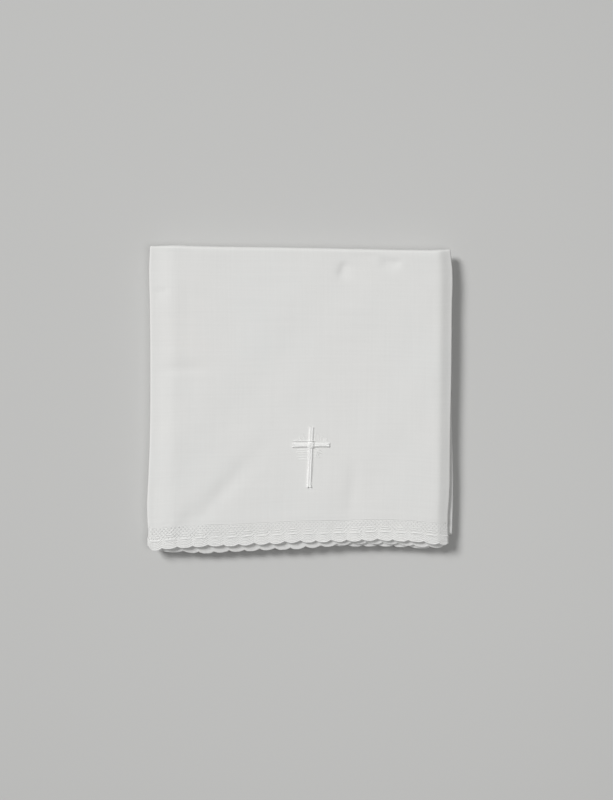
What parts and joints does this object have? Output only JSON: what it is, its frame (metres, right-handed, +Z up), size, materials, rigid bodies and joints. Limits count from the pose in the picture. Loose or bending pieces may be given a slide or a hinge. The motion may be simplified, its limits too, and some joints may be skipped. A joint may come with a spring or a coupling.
{
  "type": "corporal",
  "caption": "White linen altar cloth with a scalloped lace edging and a small raised cross, ironed flat and folded in thirds both ways into a near-square packet.",
  "frame": {"origin": "middle of the folded cloth's box, on the surface it lies on", "axes": "+Z up, the face with the cross on top; +X to the right and +Y away from the scalloped hem that shows, as the cross stands upright"},
  "size_m": [0.1552, 0.1568, 0.0121],
  "materials": {
    "linen": "matte, ironed plain weave",
    "lace": "matte cotton lace",
    "satin_stitch": "soft sheen of satin stitch"
  },
  "bodies": {
    "root": {"linen_cloth": "linen", "lace_edging": "lace", "satin_cross": "satin_stitch"}
  },
  "joints": []
}
